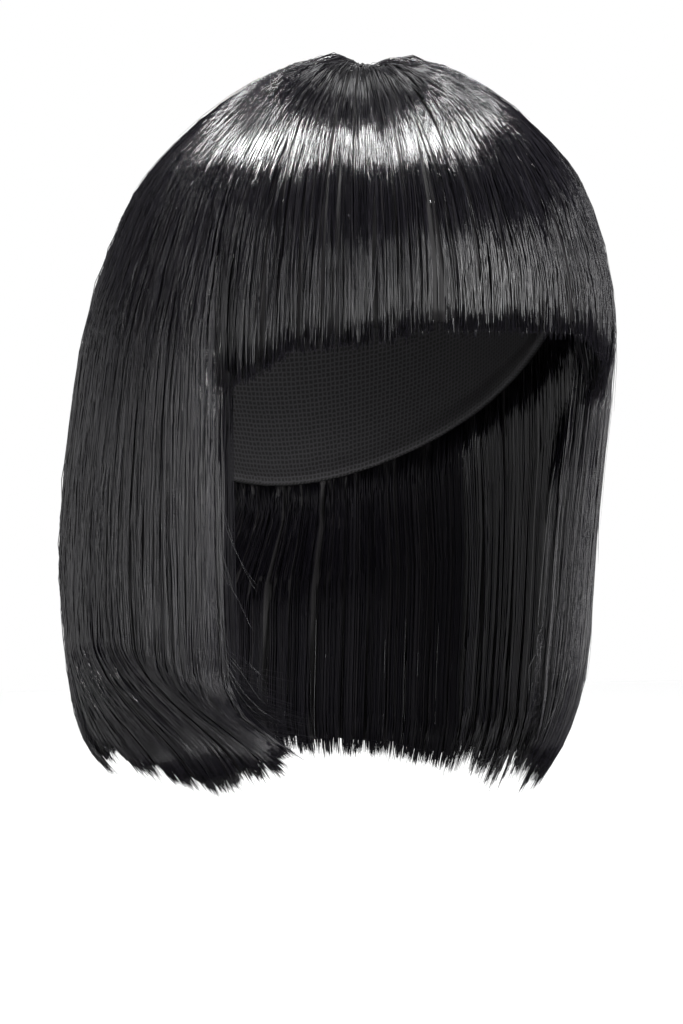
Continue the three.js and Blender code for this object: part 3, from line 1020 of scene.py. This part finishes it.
def cap():
    """The net cap: a plain wall with a turned rim, and the rows that the hair is sewn along."""
    columns, rows = 120, 60
    lines = []
    for deg in np.linspace(0, 360, columns, endpoint=False):
        rim = float(rim_height(deg))
        points = [(reach(row, deg), row.z) for row in CAP_FORM if row.z > rim + RIM_WIDTH]
        points.append((float(cap_reach(deg, rim)), rim))
        line, length = by_length(smooth_line(np.array(points, float)), rows - 1)
        lines.append((deg, line, length))
    along = np.linspace(0, 1, rows)

    def face(offset):
        grid = []
        for deg, line, length in lines:
            heading = np.gradient(line, axis=0)
            heading /= np.linalg.norm(heading, axis=1, keepdims=True)
            heading[0] = (1, 0)
            off = offset(along * length, length)
            radius, height = line[:, 0] - heading[:, 1] * off, line[:, 1] + heading[:, 0] * off
            at = np.radians(deg)
            grid.append(np.column_stack([radius * np.sin(at), -radius * np.cos(at), height]))
        return np.array(grid) * MM

    def inside(run, length):
        weft = WEFT_HEIGHT * np.clip(np.cos(2 * np.pi * run / WEFT_SPACING) - 0.4, 0, 1) * eased(0, 30, run)
        return -weft - RIM_HEIGHT * eased(RIM_WIDTH, RIM_WIDTH - 2, length - run)

    made = wall("cap", face(lambda run, length: CAP_WALL + 0 * run), face(inside), NET, around=True)
    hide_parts("wig_cap")


cap()


# Stage

VIEW_TURN = -25
VIEW_DISTANCE = 1.8
PIXEL = 0.37 * MM
IMAGE = Vector((683, 1024))
AXIS_PIXEL = 360
TOP_PIXEL, TOP_HEIGHT = 54, 13 * MM
LIT_POINT = Vector((0, 0, -0.05))
# How bright gloss sees the room, by height from straight down (0) to straight up (1)
GLOSS_BAND = [(0, 0.1), (0.2, 0.2), (0.33, 0.6), (0.43, 1.5), (0.6, 1.5), (0.72, 0.2), (1, 0.2)]


def direction(azimuth, elevation):
    """The direction at an azimuth from the front and an elevation, in degrees."""
    az, el = np.radians(azimuth), np.radians(elevation)
    return Vector((np.sin(az) * np.cos(el), -np.cos(az) * np.cos(el), np.sin(el)))


TO_RIGHT = direction(VIEW_TURN + 90, 0)


def camera():
    data = bpy.data.cameras.new("camera")
    data.sensor_fit = "VERTICAL"
    data.sensor_height = 24
    data.lens = data.sensor_height * VIEW_DISTANCE / (IMAGE.y * PIXEL)
    made = bpy.data.objects.new("camera", data)
    bpy.context.scene.collection.objects.link(made)
    to_camera = direction(VIEW_TURN, 0)
    aside = (IMAGE.x / 2 - AXIS_PIXEL) * PIXEL
    height = TOP_HEIGHT - (IMAGE.y / 2 - TOP_PIXEL) * PIXEL
    made.location = to_camera * VIEW_DISTANCE + TO_RIGHT * aside + Vector((0, 0, height))
    made.rotation_euler = (-to_camera).to_track_quat("-Z", "Y").to_euler()
    bpy.context.scene.camera = made


def softbox(name, azimuth, elevation, distance, size, power):
    """A rectangular light that faces the wig, its width across the view."""
    towards = direction(azimuth, elevation)
    wide = (TO_RIGHT - towards * TO_RIGHT.dot(towards)).normalized()
    turned = Matrix((wide, towards.cross(wide), towards)).transposed().to_4x4()
    data = bpy.data.lights.new(name, "AREA")
    data.shape = "RECTANGLE"
    data.size, data.size_y = size
    data.energy = power
    made = bpy.data.objects.new(name, data)
    made.matrix_world = Matrix.Translation(LIT_POINT + towards * distance) @ turned
    made.visible_camera = False
    bpy.context.scene.collection.objects.link(made)


def room():
    """A white room, which gloss sees dim but for a band at eye level, as between black cards."""
    world = bpy.data.worlds.new("studio")
    bpy.context.scene.world = world
    world.cycles.sampling_method = "NONE"
    world.use_nodes = True
    nodes, links = world.node_tree.nodes, world.node_tree.links
    white = nodes["Background"]
    white.inputs["Color"].default_value = (1, 1, 1, 1)
    towards = nodes.new("ShaderNodeTexCoord")
    split = nodes.new("ShaderNodeSeparateXYZ")
    links.new(towards.outputs["Generated"], split.inputs["Vector"])
    height = nodes.new("ShaderNodeMapRange")
    height.inputs["From Min"].default_value = -1
    links.new(split.outputs["Z"], height.inputs["Value"])
    band = ramp(nodes, [(share, (level, level, level)) for share, level in GLOSS_BAND])
    links.new(height.outputs["Result"], band.inputs["Fac"])
    cards = nodes.new("ShaderNodeBackground")
    links.new(band.outputs["Color"], cards.inputs["Color"])
    path = nodes.new("ShaderNodeLightPath")
    mix = nodes.new("ShaderNodeMixShader")
    links.new(path.outputs["Is Glossy Ray"], mix.inputs["Fac"])
    links.new(white.outputs["Background"], mix.inputs[1])
    links.new(cards.outputs["Background"], mix.inputs[2])
    links.new(mix.outputs["Shader"], nodes["World Output"].inputs["Surface"])
    bpy.context.scene.view_settings.view_transform = "Standard"


FLOOR_DROP = 0.12
FLOOR_HALF = 4


def floor():
    height = cad_box[0][2] - FLOOR_DROP
    corners = [(x * FLOOR_HALF, y * FLOOR_HALF, height) for x, y in ((-1, -1), (1, -1), (1, 1), (-1, 1))]
    mesh = bpy.data.meshes.new("floor")
    mesh.from_pydata(corners, [], [(0, 1, 2, 3)])
    made = bpy.data.objects.new("floor", mesh)
    bpy.context.scene.collection.objects.link(made)
    made.visible_glossy = False
    paint, nodes, links = node_material("floor_paint")
    shader = nodes["Principled BSDF"]
    shader.inputs["Roughness"].default_value = 0.8
    mottle = nodes.new("ShaderNodeTexNoise")
    mottle.inputs["Scale"].default_value = 3
    tone = ramp(nodes, [(0.3, (0.98, 0.98, 0.98)), (0.7, (0.99, 0.99, 0.99))])
    links.new(mottle.outputs["Fac"], tone.inputs["Fac"])
    links.new(tone.outputs["Color"], shader.inputs["Base Color"])
    mesh.materials.append(paint)


camera()
softbox("overhead", azimuth=-60, elevation=74, distance=1.25, size=(0.3, 0.17), power=18)
softbox("overhead_right", azimuth=-115, elevation=72, distance=1.25, size=(0.22, 0.19), power=24)
softbox("overhead_left", azimuth=60, elevation=78, distance=1.25, size=(0.16, 0.19), power=17)
softbox("front", azimuth=13, elevation=14, distance=1.9, size=(0.9, 1.6), power=68)
softbox("behind", azimuth=155, elevation=54, distance=1.9, size=(1.1, 0.36), power=4.5)
room()
floor()
